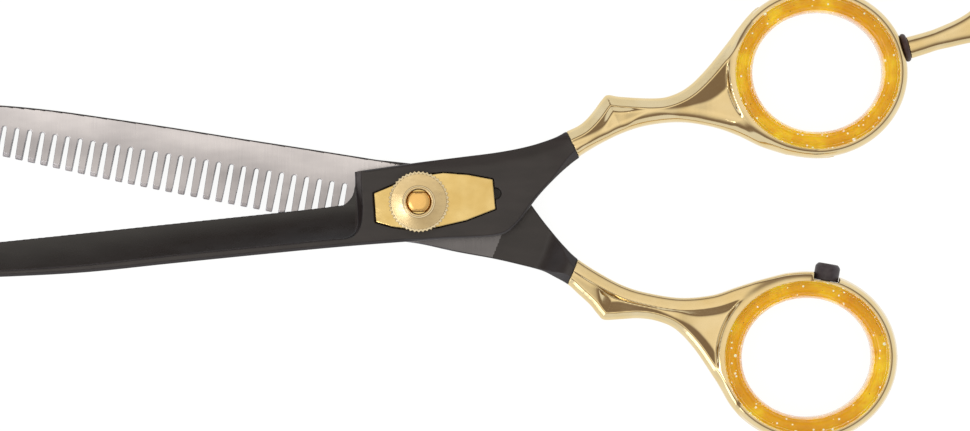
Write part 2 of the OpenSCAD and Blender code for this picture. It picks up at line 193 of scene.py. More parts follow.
def gap(x, y, side):
    """Distance from an open curve."""
    best = np.full(np.broadcast(x, y).shape, 1e9, np.float32)
    for (ax, ay), (bx, by) in zip(side, side[1:]):
        ex, ey = bx - ax, by - ay
        long = ex * ex + ey * ey + 1e-12
        t = np.clip(((x - ax) * ex + (y - ay) * ey) / long, 0, 1)
        best = np.minimum(best, (x - ax - t * ex) ** 2 + (y - ay - t * ey) ** 2)
    return np.sqrt(best)


def ellipse_distance(x, y, centre, a, b):
    """Nearly the distance from an ellipse, positive inside it."""
    px, py = x - centre[0], y - centre[1]
    k1 = np.sqrt((px / a) ** 2 + (py / b) ** 2) + 1e-9
    k2 = np.sqrt((px / a**2) ** 2 + (py / b**2) ** 2) + 1e-9
    return -k1 * (k1 - 1) / k2


def beyond(x, y, line):
    """Signed distance from the line through two points, positive to the left of it."""
    (ax, ay), (bx, by) = line
    ex, ey = bx - ax, by - ay
    return (ex * (y - ay) - ey * (x - ax)) / math.hypot(ex, ey)


def height_at(x, points):
    """The y of an open outline at x; its points run along +X."""
    p = np.array(points)
    return np.interp(x, p[:, 0], p[:, 1])


def smooth_min(a, b, k):
    """The lesser of two fields, blended where they differ by less than k."""
    h = np.clip(0.5 + 0.5 * (b - a) / k, 0, 1)
    return b + (a - b) * h - k * h * (1 - h)


def smooth_max(a, b, k):
    """The greater of two fields, blended likewise."""
    return -smooth_min(-a, -b, k)


def smoothstep(low, high, v):
    """0 below low and 1 above high, with a smooth slope between."""
    t = np.clip((v - low) / (high - low), 0, 1)
    return t * t * (3 - 2 * t)


# -------------------- meshes


def make_mesh(name, verts, faces, normals=None):
    """A smooth mesh object from vertices in millimetres and an array of quads."""
    mesh = bpy.data.meshes.new(name)
    faces = np.asarray(faces, np.int32)
    mesh.vertices.add(len(verts))
    mesh.vertices.foreach_set("co", (np.asarray(verts) * MM).astype(np.float32).ravel())
    mesh.loops.add(faces.size)
    mesh.loops.foreach_set("vertex_index", faces.ravel())
    mesh.polygons.add(len(faces))
    mesh.polygons.foreach_set("loop_start", np.arange(0, faces.size, faces.shape[1], dtype=np.int32))
    mesh.polygons.foreach_set("use_smooth", np.ones(len(faces), bool))
    mesh.update(calc_edges=True)
    if normals is not None:
        mesh.normals_split_custom_set_from_vertices(normals.tolist())
    piece = bpy.data.objects.new(name, mesh)
    bpy.context.scene.collection.objects.link(piece)
    return piece


def crossing_points(f, cells):
    """The mean of the points where each cell's edges cross the surface."""
    total, hits = np.zeros((len(cells), 3)), np.zeros(len(cells))
    for axis in range(3):
        unit = np.eye(3, dtype=int)[axis]
        others = [a for a in range(3) if a != axis]
        for i in (0, 1):
            for j in (0, 1):
                start = np.zeros(3, int)
                start[others[0]], start[others[1]] = i, j
                p, q = cells + start, cells + start + unit
                f0, f1 = f[tuple(p.T)], f[tuple(q.T)]
                cross = (f0 > 0) != (f1 > 0)
                t = np.where(cross, f0 / np.where(cross, f0 - f1, 1), 0)
                total += cross[:, None] * (start + t[:, None] * unit)
                hits += cross
    return total / hits[:, None]


def surface_net(f):
    """Vertices, in grid units, and quads of the surface f = 0; f is positive inside."""
    inside = f > 0
    nx, ny, nz = (n - 1 for n in f.shape)
    count = np.zeros((nx, ny, nz), np.int8)
    for i in (0, 1):
        for j in (0, 1):
            for k in (0, 1):
                count += inside[i:nx + i, j:ny + j, k:nz + k]
    active = (count > 0) & (count < 8)
    cells = np.argwhere(active)
    number = np.full(active.shape, -1, np.int32)
    number[active] = np.arange(len(cells))
    verts = cells + crossing_points(f, cells)
    quads = []
    for axis in range(3):
        a, b = np.eye(3, dtype=int)[(axis + 1) % 3], np.eye(3, dtype=int)[(axis + 2) % 3]
        ends = [slice(1, -1)] * 3
        near, far = list(ends), list(ends)
        near[axis], far[axis] = slice(0, -1), slice(1, None)
        change = inside[tuple(near)] != inside[tuple(far)]
        start = np.ones(3, int)
        start[axis] = 0
        e = np.argwhere(change) + start
        ring = np.column_stack([number[tuple((e - s).T)] for s in (0 * a, a, a + b, b)])
        outward = inside[tuple(e.T)]
        quads.append(np.where(outward[:, None], ring, ring[:, ::-1]))
    return verts, np.vstack(quads)


def sampled(f, p):
    """The grid's value at points in grid units."""
    top = np.array(f.shape) - 1.001
    p = np.clip(p, 0, top)
    i = p.astype(int)
    t = p - i
    value = 0
    for a in (0, 1):
        for b in (0, 1):
            for c in (0, 1):
                w = np.abs(1 - a - t[:, 0]) * np.abs(1 - b - t[:, 1]) * np.abs(1 - c - t[:, 2])
                value = value + w * f[i[:, 0] + a, i[:, 1] + b, i[:, 2] + c]
    return value


NORMAL_REACH = 0.45  # in grid steps


def carve(name, field, low, high, step, angle=0.0):
    """A piece from a field that is positive inside it; its grid may be turned about Z."""
    low, high = np.array(low, float), np.array(high, float)
    step = np.array(step, float) * COARSE
    x, y, z = (np.arange(a, b + s, s, dtype=np.float32) for a, b, s in zip(low, high, step))
    f = field(x[:, None, None], y[None, :, None], z[None, None, :]).astype(np.float32)
    verts, quads = surface_net(f)
    slope = []
    for axis in range(3):
        unit = np.eye(3)[axis] * NORMAL_REACH
        slope.append((sampled(f, verts - unit) - sampled(f, verts + unit)) / step[axis])
    normals = np.column_stack(slope)
    normals /= np.linalg.norm(normals, axis=1, keepdims=True) + 1e-12
    verts = low + verts * step
    if angle:
        verts[:, :2] = turned(verts[:, :2], angle)
        normals[:, :2] = turned(normals[:, :2], angle)
    return make_mesh(name, verts, quads, normals)


def sweep_faces(rows, cols, closed_rows):
    """Quads between rows of points; each row is a closed loop."""
    i = np.arange(rows if closed_rows else rows - 1)[:, None]
    j = np.arange(cols)[None, :]
    a, b = i * cols + j, i * cols + (j + 1) % cols
    c, d = (i + 1) % rows * cols + (j + 1) % cols, (i + 1) % rows * cols + j
    return np.stack([a, b, c, d], axis=-1).reshape(-1, 4)


AXIS_R = 0.002  # stands for a point on the axis


def revolve(profile, steps, radius=None):
    """Turns a profile of (radius, height) points about Z; its ends lie on the axis or meet."""
    t = np.linspace(0, 2 * math.pi, steps, endpoint=False)
    rows = []
    for r, h in profile:
        around = np.full(steps, max(r, AXIS_R))
        if radius is not None:
            around = radius(around, t, h)
        rows.append(np.column_stack([around * np.cos(t), around * np.sin(t), np.full(steps, h)]))
    return np.vstack(rows), sweep_faces(len(rows), steps, False)


def at_foot(verts, foot, angle):
    """Moves points from about the Z axis to a foot on a ring's edge, with +Z out along the angle."""
    x, y, z = np.asarray(verts).T
    c, s = math.cos(angle), math.sin(angle)
    return np.column_stack([foot[0] + z * c - y * s, foot[1] + z * s + y * c, MID_Z - x])


def softened(points, r=0.12, n=4):
    """Rounds each inner corner of an open profile."""
    p = np.array(points, float)
    out = [p[0]]
    for a, b, c in zip(p, p[1:], p[2:]):
        u, v = a - b, c - b
        lu, lv = np.linalg.norm(u), np.linalg.norm(v)
        k = min(r, 0.45 * lu, 0.45 * lv)
        s, e = b + u / lu * k, b + v / lv * k
        for t in np.linspace(0, 1, n + 1):
            out.append((1 - t) ** 2 * s + 2 * t * (1 - t) * b + t**2 * e)
    out.append(p[-1])
    return np.array(out)


def place(piece, body, slot, *replaced):
    """Rides the piece on its body and hides the CAD nodes it stands for; slot is not used."""
    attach(piece, body)
    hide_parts(*replaced)


# -------------------- carved pieces

LAYER_R, BREAK_R = 21.6, 27.2  # where a half leaves its own layer, and reaches its handle's thickness
SHARP_BEVEL = (0.32, 0.32)  # width and height, on the blades and pivot bodies
HANDLE_BEVEL = (1.35, 1.05)
RIDE_EDGE = 0.02
BLADE_EDGE_T, BLADE_TIP_T = 0.22, 1.5
BLADE_ROOT, BLADE_TIP = -12, -85
FAR = 9  # further than any distance that matters in a field

FRONT_LOW_SIDE = curve(FRONT_BACK + FRONT_NECK_LOW[1:])
FRONT_TOP_SIDE = curve(FRONT_TOP + FRONT_NECK_TOP[1:])
REAR_TOP_SIDE = curve(REAR_SHANK_TOP + REAR_NECK_TOP[1:])
REAR_LOW_SIDE = curve(REAR_SHANK_LOW + REAR_NECK_LOW[1:])
FRONT_RING_ARC = arc(FRONT_RING, RING_A, RING_B, 146, -92)
REAR_RING_ARC = arc(REAR_RING, RING_A, RING_B, 95, -155)


def left_of(side, x):
    """The points of an outline with less than x."""
    return side[side[:, 0] < x]


def right_of(side, x):
    """The points of an outline with more than x."""
    return side[side[:, 0] > x]


def chamfer(top, d, width, height):
    """A bevel that runs off a top face at the outline; top is the depth below that face."""
    return (top / height + d / width - 1) / np.sqrt(1 / height**2 + 1 / width**2)


def layer(x, y, low, high):
    """How far a half has grown from its own layer into its handle, and its faces there."""
    t = smoothstep(LAYER_R, BREAK_R, np.sqrt(x * x + y * y)) * (x > 0)
    return t, low + (HANDLE_LOW - low) * t, high + (HANDLE_HIGH - high) * t


def mixed_bevel(t):
    """A bevel's width and height, from the blades' at 0 to the handles' at 1."""
    return [a + (b - a) * t for a, b in zip(SHARP_BEVEL, HANDLE_BEVEL)]


def thinning(x):
    """0 at a blade's root and 1 at its tip."""
    return np.clip((BLADE_ROOT - x) / (BLADE_ROOT - BLADE_TIP), 0, 1)


BLADE_SHOULDER = FRONT_SHOULDER[:5:-1]
BEHIND_SHOULDER = [(-10.35, 40), (60, 40), (60, -30), (-95, -30), (-95, -7)]
SHOULDER_SLOPE, SHOULDER_SCALE = 3.2, 3.35
SHOULDER_STEP = 0.3
HOLLOW_POWER = 1.45
SPINE_BEVEL = (0.5, 0.3)
TOP_SHED, TOP_SHED_W = 0.33, 2.1  # slope and width of the softer upper edge of the pivot body
RECESS_GAP, RECESS_SOFT = 0.16, 0.1
NOTCH, NOTCH_R, NOTCH_DEPTH = (12.5, 1.35), 0.95, 1.2


def front_blade_field(x, y, z):
    """The solid half: a hollow-ground blade behind a shoulder, the raised pivot body and its bores."""
    outline = np.vstack([left_of(FRONT_LOW_SIDE, 34), left_of(FRONT_TOP_SIDE, 31)[::-1],
                         curve(FRONT_HEEL)[::-1], curve(FRONT_EDGE)[::-1]])
    d = distance(x, y, outline)
    t, low, high = layer(x, y, FRONT_LOW, FRONT_HIGH)
    raised = distance(x, y, np.vstack([curve(FRONT_SHOULDER)[::-1], BEHIND_SHOULDER]))
    top = high - (FRONT_HIGH - FRONT_LOW - BLADE_TIP_T) * thinning(x)
    edge_y, band_y = height_at(x, FRONT_EDGE), height_at(x, BLADE_SHOULDER)
    s = np.clip((edge_y - y) / (edge_y - band_y), 0, 1)
    sharp = FRONT_LOW + BLADE_EDGE_T
    hollow = sharp + (top - SHOULDER_STEP - sharp) * s**HOLLOW_POWER
    wall = (SHOULDER_SLOPE * raised + hollow - z) / SHOULDER_SCALE
    f = np.maximum(smooth_min(wall, top - z, 0.12), hollow - z)
    width, height = mixed_bevel(t)
    in_hollow = FAR * (s < 0.999)
    f = smooth_min(f, chamfer(high - z, d, width, height) + in_hollow * (x < -9), 0.1)
    f = np.minimum(f, chamfer(top - z, d, *SPINE_BEVEL) + in_hollow)
    shed = TOP_SHED * (TOP_SHED_W * smoothstep(-5, 7, x) - gap(x, y, left_of(FRONT_TOP_SIDE, 31)))
    f = smooth_min(f, high - z - shed, 0.25)
    f = smooth_min(f, d, 0.08)
    f = smooth_min(f, chamfer(z - low, d, RIDE_EDGE + width * t, RIDE_EDGE + height * t), 0.05)
    f = np.minimum(f, z - low)
    f = np.minimum(f, -beyond(x, y, FRONT_BREAK))
    r = np.sqrt(x * x + y * y)
    f = np.minimum(f, r - SHANK_R - SEAT_GAP)
    f = np.minimum(f, np.maximum(r - WASHER_R - SEAT_GAP, z - WASHER_HIGH - SEAT_GAP))
    recess = distance(x, y, PLATE_OUTLINE) + RECESS_GAP
    notch = NOTCH_R - np.sqrt((x - NOTCH[0]) ** 2 + (y - NOTCH[1]) ** 2)
    f = np.minimum(f, -smooth_min(recess, z - PLATE_LOW, RECESS_SOFT))
    return np.minimum(f, -smooth_min(notch, z - PLATE_LOW + NOTCH_DEPTH, RECESS_SOFT))


EDGE_R = 0.6
BAND_POWER, BAND_SOFT = 2.4, 0.7
WEB_FADE = math.cos(math.radians(76)), math.cos(math.radians(60))  # round the ring from the web's side


def drop_behind(x, c, crest_w, wall, rise):
    """How far the web lies below a rim, c from the edge: it falls down the wall, then rises gently."""
    at, width, slope = curve(wall, 6).T
    w = np.interp(x, at, width) + 0 * c
    run = smooth_max(c - crest_w, 0 * c, 0.06)
    fall = np.interp(x, at, slope) * smooth_min(run, w, 0.25)
    return smooth_max(fall - rise * smooth_max(run - w, 0 * c, 0.5), 0 * c, 0.05)


def handle_field(x, y, z, outline, crest, other, ring, web_side, line):
    """A gold neck and ring, symmetric about its middle plane.

    One edge, crest, is a rim: (curve, width, slope of its bevel, the wall behind it, the web's rise from
    the wall). The other is a rim too, or it is round: (curve, stations, radii). The web meets the ring on
    the side web_side, an angle about the ring's centre. The neck ends at line.
    """
    d = distance(x, y, outline)
    e = ellipse_distance(x, y, ring, RING_A, RING_B)
    height = np.abs(z - MID_Z)
    side, crest_w, crest_slope, wall, rise = crest
    c, o = gap(x, y, side), gap(x, y, other[0])
    drop = drop_behind(x, c, crest_w, wall, rise)
    if len(other) > 3:
        drop = smooth_min(drop, drop_behind(x, o, other[1], *other[3:]), 0.12)
    px, py = x - ring[0], y - ring[1]
    facing = (px * math.cos(web_side) + py * math.sin(web_side)) / (np.sqrt(px * px + py * py) + 1e-6)
    web = (HALF_T - drop * smoothstep(*RING_RAMP, -e)) * smoothstep(*WEB_FADE, facing)
    if len(other) > 3:
        plate = smooth_min((web - height) * 0.9,
                           (HALF_T - other[2] * (other[1] - o) - height) / math.hypot(1, other[2]), 0.1)
    else:
        t = np.clip(1 - o / np.interp(x, other[1], other[2]), 0, 1)
        plate = (1 - np.sqrt(t**2 + (height / np.maximum(web, 0.01)) ** 2)) * HALF_T
    bevel = (HALF_T - crest_slope * (crest_w - c) - height) / math.hypot(1, crest_slope)
    plate = smooth_min(smooth_min(plate, bevel, 0.1), d, EDGE_R)
    plate = np.minimum(plate, -ellipse_distance(x, y, ring, RING_A - LIP, RING_B - LIP))
    u, v = np.abs(e - LIP) / LIP, height / HALF_T
    band = (1 - (u**BAND_POWER + v**BAND_POWER) ** (1 / BAND_POWER)) * LIP
    f = smooth_max(plate, band, BAND_SOFT)
    inner = SEAT_GAP - BAND_W
    f = np.minimum(f, -ellipse_distance(x, y, ring, RING_A + inner, RING_B + inner))
    return np.minimum(f, beyond(x, y, line))


def at_local(x, y, foot, angle):
    """Distance along an axis from its foot, and the offset across it, in the plane."""
    c, s = math.cos(angle), math.sin(angle)
    return (x - foot[0]) * c + (y - foot[1]) * s, (y - foot[1]) * c - (x - foot[0]) * s


def drilled(f, x, y, z, foot, angle, hole_r, depth, seat_r):
    """The handle with a flat seat and a hole for a stud."""
    along, across = at_local(x, y, foot, angle)
    r = np.sqrt(across**2 + (z - MID_Z) ** 2)
    cut = np.maximum(np.minimum(seat_r - np.abs(across), along), np.minimum(hole_r - r, along + depth))
    return np.minimum(f, np.where(along > -depth - 1, -cut, FAR))


# The walls behind the rims, as (x, width, slope).
FRONT_WALL = [(22, 0.3, 0.4), (27, 0.5, 0.4), (30, 1.2, 0.42), (31.5, 1.0, 0.6), (33.5, 0.8, 0.8),
              (36, 0.4, 0.5), (38, 0.15, 0.4), (41, 0.4, 0.4), (45, 1.4, 0.4), (50, 2.9, 0.36),
              (60, 3.2, 0.34)]
REAR_LOW_WALL = [(22, 0.3, 0.2), (26, 0.8, 0.2), (29, 1.6, 0.24), (30.5, 2.3, 0.48), (34, 1.9, 0.48),
                 (38, 0.9, 0.5), (42, 0.5, 0.5), (45, 1.2, 0.45), (48, 1.4, 0.42), (60, 1.2, 0.4)]
REAR_TOP_WALL = [(22, 0.3, 0.4), (26, 0.45, 1.2), (30, 0.45, 2.2), (35, 0.45, 1.8), (40, 0.5, 0.9),
                 (43, 0.8, 0.55), (46, 1.3, 0.45), (51, 1.5, 0.42), (58, 0.8, 0.4)]
FRONT_RIM = (1.7, 0.74, FRONT_WALL, 0.22)
REAR_LOW_RIM = (1.15, 0.8, REAR_LOW_WALL, 0)
REAR_TOP_RIM = (1.9, 0.18, REAR_TOP_WALL, 0)
FRONT_ROUND = ((24, 38, 46), (1.5, 2.4, 2.8))
FRONT_WEB_SIDE, REAR_WEB_SIDE = math.radians(207), math.radians(150)
RING_RAMP = (-0.4, 0.1)  # how far outside the ring's edge the web starts and ends its fall from it
REST_HOLE = (1.25, 1.8, 2.4)  # radius, depth, and the flat seat's radius
BUMPER_HOLE = (0.83, 1.63, 2.1)
REST_WASHER_R, REST_WASHER_T = 2.35, 1.05
BUMPER_ANGLE = math.radians(80)
BUMPER_R, BUMPER_H = 2.05, 2.84
BUMPER_FOOT = np.array([66.6, -12.95])


def front_handle_field(x, y, z):
    """The upper neck and ring: one crest, a round edge, and the finger rest's hole."""
    low, top = right_of(FRONT_LOW_SIDE, 18), right_of(FRONT_TOP_SIDE, 17)
    outline = np.vstack([low, FRONT_RING_ARC[::-1], top[::-1]])
    crest = (np.vstack([top, FRONT_RING_ARC[:20]]), *FRONT_RIM)
    round_edge = (np.vstack([low, FRONT_RING_ARC[:-20:-1]]), *FRONT_ROUND)
    f = handle_field(x, y, z, outline, crest, round_edge, FRONT_RING, FRONT_WEB_SIDE, FRONT_BREAK)
    return drilled(f, x, y, z, REST_FOOT, REST_ANGLE, *REST_HOLE)


def rear_handle_field(x, y, z):
    """The lower neck and ring: a crest on each edge, and the bumper's hole."""
    low, top = right_of(REAR_LOW_SIDE, 17), right_of(REAR_TOP_SIDE, 19)
    outline = np.vstack([top, REAR_RING_ARC, low[::-1]])
    crest = (np.vstack([low, REAR_RING_ARC[:-20:-1]]), *REAR_LOW_RIM)
    second = (np.vstack([top, REAR_RING_ARC[:20]]), *REAR_TOP_RIM)
    f = handle_field(x, y, z, outline, crest, second, REAR_RING, REAR_WEB_SIDE, REAR_BREAK)
    return drilled(f, x, y, z, BUMPER_FOOT, BUMPER_ANGLE, *BUMPER_HOLE)


TOOTH_T = 0.8
TOOTH_TIP_BEVEL = (0.2, 0.7)  # slope and reach
RIDE_BEVEL = (0.16, 0.14)
FIRST_SLOT, PITCH, SLOTS = 12.5, 2.095, 34
SLOT_ROOT, SLOT_TIP, SLOT_RUN = 0.75, 1.15, 18  # a slot's width at its root, and at SLOT_RUN from it
ROOT_LINE = (0.95, -0.011)  # the roots' v at the pivot, and its slope along the blade
HEAD_POCKET_GAP, HEAD_POCKET_TOP = 0.15, 1.35


def comb(u, v):
    """The slots between the teeth, positive inside them; they widen towards the teeth's ends."""
    along = -u
    number = np.clip(np.round((along - FIRST_SLOT) / PITCH), 0, SLOTS - 1)
    aside = np.abs(along - FIRST_SLOT - number * PITCH)
    root = SLOT_ROOT / 2
    depth = ROOT_LINE[0] + ROOT_LINE[1] * along - root - v
    return np.where(depth > 0, root + depth * (SLOT_TIP - SLOT_ROOT) / SLOT_RUN - aside,
                    root - np.sqrt(aside**2 + depth**2))


def rear_blade_field(u, v, z):
    """The toothed half in its own turned frame, u along the blade and v across it."""
    local = -REAR_TURN
    outline = np.vstack([curve(REAR_BACK_UV), turned(left_of(REAR_TOP_SIDE, 31), local),
                         turned(left_of(REAR_LOW_SIDE, 29)[::-1], local), curve(REAR_ENDS_UV)[::-1]])
    d = distance(u, v, outline)
    t, low, high = layer(u, v, REAR_LOW, REAR_HIGH)
    v_end, v_back = height_at(u, REAR_ENDS_UV), height_at(u, REAR_BACK_UV)
    blade = 1 - smoothstep(-12.5, -9.5, u)
    thinned = (REAR_HIGH - REAR_LOW - BLADE_TIP_T) * thinning(u)
    ground = np.clip((v - v_end) / (0.5 * (v_back - v_end)), 0, 1)
    low = low + blade * (REAR_HIGH - low - thinned - TOOTH_T) * (1 - ground) + thinned * ground
    width, height = mixed_bevel(t)
    f = np.minimum(high - z, z - low)
    f = smooth_min(f, chamfer(z - low, d, width, height) + FAR * blade * (ground < 0.999), 0.08)
    ride_w, ride_h = [a + (b - a) * t for a, b in zip(RIDE_BEVEL, (width, height))]
    f = smooth_min(f, chamfer(high - z, d, ride_w, ride_h), 0.03)
    slope, reach = TOOTH_TIP_BEVEL
    f = np.minimum(f, np.where(blade > 0.5, high - z - slope * (reach - v + v_end), FAR))
    f = np.minimum(smooth_min(f, d, 0.06), -comb(u, v))
    x, y = u * math.cos(local) + v * math.sin(local), v * math.cos(local) - u * math.sin(local)
    f = np.minimum(f, -beyond(x, y, REAR_BREAK))
    r = np.sqrt(u * u + v * v)
    f = np.minimum(f, r - BUSH_R - SEAT_GAP)
    return np.minimum(f, np.maximum(r - HEAD_R - HEAD_POCKET_GAP, z - HEAD_POCKET_TOP))


REST_R, REST_POWER = 1.7, 2.3
REST_HALF_T, REST_THINNING, REST_LENGTH = 1.75, 0.45, 22
STUD_R, STUD_LENGTH, STUD_SUNK = 1.2, 1.75, 0.55


def finger_rest_field(x, y, z):
    """A curved bar of oval section with the stud on its foot."""
    d = distance(x, y, np.vstack([curve(REST_TOP), curve(REST_LOW)[::-1]]))
    along, across = at_local(x, y, REST_FOOT, REST_ANGLE)
    half = REST_HALF_T - REST_THINNING * smoothstep(0, REST_LENGTH, along)
    t = np.clip(1 - d / REST_R, 0, None)
    f = REST_R * (1 - (t**REST_POWER + (np.abs(z - MID_Z) / half) ** REST_POWER) ** (1 / REST_POWER))
    f = np.minimum(f, along - REST_WASHER_T - SEAT_GAP)
    r = np.sqrt(across**2 + (z - MID_Z) ** 2)
    stud = np.minimum(np.minimum(STUD_R - r, along + STUD_LENGTH), REST_WASHER_T + STUD_SUNK - along)
    return np.maximum(f, stud)


PLATE_BOW, PLATE_MIDDLE, PLATE_HALF = 0.3, 2.5, 10.2
PLATE_DIP, DIP_START, DIP_RUN = 0.42, -1, 6.4
KEY_R, KEY_FLAT = 1.95, 1.55


def tension_plate_field(x, y, z):
    """A bowed leaf spring that dips at its blade end, with a keyed hole for the bolt."""
    bow = PLATE_BOW * (1 - ((x - PLATE_MIDDLE) / PLATE_HALF) ** 2)
    dip = PLATE_DIP * np.clip((DIP_START - x) / DIP_RUN, 0, 1) ** 1.6
    f = np.minimum(PLATE_HIGH - PLATE_BOW + bow - dip - z, z - np.maximum(PLATE_LOW, PLATE_LOW + bow))
    f = smooth_min(f, distance(x, y, PLATE_OUTLINE), 0.12)
    hole = np.minimum(KEY_R - np.sqrt(x * x + y * y), KEY_FLAT - np.abs(y))
    return np.minimum(f, -hole)


# -------------------- turned and moulded pieces

GROOVE_POWER = 2.6


def ring_insert(name, centre):
    """A soft lining that laps over the band on both faces."""
    crown = (INSERT_HIGH - INSERT_LOW) / 2
    wall = -BAND_W - LINING
    over = curve([(-LIP, HALF_T + 0.06), (-LIP - 0.02, HALF_T + 0.3), (-LIP - 0.2, crown - 0.2),
                  (-LIP - 0.42, crown - 0.24), (-LIP - 0.6, crown - 0.1), (-BAND_W + 0.4, crown - 0.01),
                  (-BAND_W - 0.25, crown - 0.02), (wall + 0.75, crown - 0.3),
                  (wall + 0.2, crown - 1.0), (wall, crown - 1.9)], 5)
    over[:, 1] = np.minimum(over[:, 1], crown)
    under = over[::-1] * (1, -1)
    t = np.radians(np.linspace(270, 90, 17))
    power = 2 / GROOVE_POWER
    groove = np.column_stack([-LIP - (LIP + SEAT_GAP) * np.abs(np.cos(t)) ** power,
                              (HALF_T + SEAT_GAP) * np.sign(np.sin(t)) * np.abs(np.sin(t)) ** power])
    out, up = np.vstack([over, under, groove]).T
    rows = []
    for a in np.linspace(0, 2 * math.pi, 240, endpoint=False):
        x, y = centre[0] + (RING_A + out) * math.cos(a), centre[1] + (RING_B + out) * math.sin(a)
        rows.append(np.column_stack([x, y, MID_Z + up]))
    return make_mesh(name, np.vstack(rows), sweep_faces(len(rows), len(out), True))


KNURLS, KNURL_DEPTH = 44, 0.26


def knurl(r, t, h):
    """The radius r with straight ridges on the nut's rim, running out at its bevels."""
    on_rim = np.clip((r - (NUT_R - 0.5)) / 0.35, 0, 1)
    wave = np.abs(((t * KNURLS / (2 * math.pi)) % 1) - 0.5) * 2
    return r - KNURL_DEPTH * on_rim * (1 - wave) ** 0.9


def tension_nut():
    """A knurled rim, a shallow cone and a small collar round the thread."""
    high, bore_r = NUT_HIGH - 0.25, THREAD_R + 2 * SEAT_GAP
    outer = softened([(bore_r, NUT_LOW), (NUT_R - 0.45, NUT_LOW), (NUT_R, NUT_LOW + 0.4),
                      (NUT_R, high - 0.55), (NUT_R - 0.42, high - 0.3), (NUT_R - 0.52, high - 0.265),
                      (2.62, high + 0.02), (2.45, NUT_HIGH - 0.04), (2.3, NUT_HIGH),
                      (2.12, NUT_HIGH - 0.02), (bore_r, NUT_HIGH - 0.3)], 0.1)
    bore = np.array([(bore_r, high - 0.6), (bore_r, NUT_LOW + 0.02)])
    return make_mesh("Tension_nut", *revolve(np.vstack([outer, bore]), KNURLS * 10, knurl))


HEAD_T, BOLT_FLAT = 1.3, 1.5


def double_d(r, t, h):
    """Two flats on the bolt, from just under the tension plate to its end."""
    if h < PLATE_LOW - 0.1:
        return r
    return np.minimum(r, BOLT_FLAT / np.maximum(np.abs(np.sin(t)), 1e-3))


def pivot_bolt():
    """A flat head below, a shank, and a thread with a domed end."""
    under = [(0, 0), (3.6, 0), (HEAD_R - 0.3, 0), (HEAD_R, 0.3), (HEAD_R, HEAD_T), (SHANK_R, HEAD_T),
             (SHANK_R, PLATE_LOW - 0.15), (THREAD_R, PLATE_LOW - 0.05)]
    top = [(THREAD_R, BOLT_HIGH - 0.35), (1.7, BOLT_HIGH - 0.12), (1.2, BOLT_HIGH - 0.03), (0.6, BOLT_HIGH),
           (0, BOLT_HIGH)]
    return make_mesh("Pivot_bolt", *revolve(softened(under + top, 0.1), 144, double_d))


def finger_rest_washer():
    """A washer with a full round rim."""
    r, t, hole_r, round_r = REST_WASHER_R, REST_WASHER_T, REST_HOLE[0], 0.5
    rim = [(r - round_r * (1 - math.sin(a)), (t + SEAT_GAP) / 2 - round_r * math.cos(a))
           for a in np.linspace(0.1, 3.04, 13)]
    profile = np.array([(hole_r, SEAT_GAP), *rim, (hole_r, t), (hole_r, SEAT_GAP)])
    verts, faces = revolve(profile, 96)
    return make_mesh("Finger_rest_washer", at_foot(verts, REST_FOOT, REST_ANGLE), faces)


def bumper():
    """A short cylinder with a rounded top edge."""
    r, h, foot = BUMPER_R, BUMPER_H, SEAT_GAP
    profile = softened([(0, foot), (r - 0.1, foot), (r, foot + 0.1), (r, h - 0.5), (r - 0.45, h - 0.02),
                        (r - 0.9, h), (0, h)], 0.3, 6)
    verts, faces = revolve(profile, 96)
    return make_mesh("Bumper", at_foot(verts, BUMPER_FOOT, BUMPER_ANGLE), faces)


# -------------------- materials


def new_material(name):
    """A material, its node tree and its shader."""
    material = bpy.data.materials.new(name)
    material.use_nodes = True
    tree = material.node_tree
    return material, tree, tree.nodes["Principled BSDF"]


def object_coords(tree, scale=(1, 1, 1), turn=0.0):
    """Object coordinates in millimetres, stretched by scale and turned about Z."""
    coords = tree.nodes.new("ShaderNodeTexCoord")
    mapping = tree.nodes.new("ShaderNodeMapping")
    mapping.inputs["Scale"].default_value = [s / MM for s in scale]
    mapping.inputs["Rotation"].default_value = (0, 0, turn)
    tree.links.new(coords.outputs["Object"], mapping.inputs["Vector"])
    return mapping.outputs["Vector"]


def noise(tree, vector, scale, detail, roughness=0.5):
    """Cloudy noise between 0 and 1; scale is in cycles for each millimetre of the vector."""
    node = tree.nodes.new("ShaderNodeTexNoise")
    node.inputs["Scale"].default_value = scale
    node.inputs["Detail"].default_value = detail
    node.inputs["Roughness"].default_value = roughness
    tree.links.new(vector, node.inputs["Vector"])
    return node.outputs["Fac"]


def ramp(tree, value, stops):
    """Maps a value to colours, or to greys where the stops hold numbers."""
    node = tree.nodes.new("ShaderNodeValToRGB")
    elements = node.color_ramp.elements
    while len(elements) < len(stops):
        elements.new(0.5)
    for element, (at, colour) in zip(elements, stops):
        element.position = at
        rgb = (colour,) * 3 if isinstance(colour, (int, float)) else colour
        element.color = (*rgb, 1)
    tree.links.new(value, node.inputs["Fac"])
    return node.outputs["Color"]


def mixed(tree, share, base, top):
    """The base colour with a share of a plain colour on top."""
    node = tree.nodes.new("ShaderNodeMix")
    node.data_type = "RGBA"
    tree.links.new(share, node.inputs["Factor"])
    tree.links.new(base, node.inputs["A"])
    node.inputs["B"].default_value = (*top, 1)
    return node.outputs["Result"]


def times(tree, colour, factor):
    """A colour multiplied by another, or by a number."""
    node = tree.nodes.new("ShaderNodeMix")
    node.data_type = "RGBA"
    node.blend_type = "MULTIPLY"
    node.inputs["Factor"].default_value = 1.0
    tree.links.new(colour, node.inputs["A"])
    tree.links.new(factor, node.inputs["B"])
    return node.outputs["Result"]


def maths(tree, operation, a, b):
    """A Math node on two values, each a socket or a number."""
    node = tree.nodes.new("ShaderNodeMath")
    node.operation = operation
    for socket, value in zip(node.inputs, (a, b)):
        if isinstance(value, (int, float)):
            socket.default_value = value
        else:
            tree.links.new(value, socket)
    return node.outputs[0]


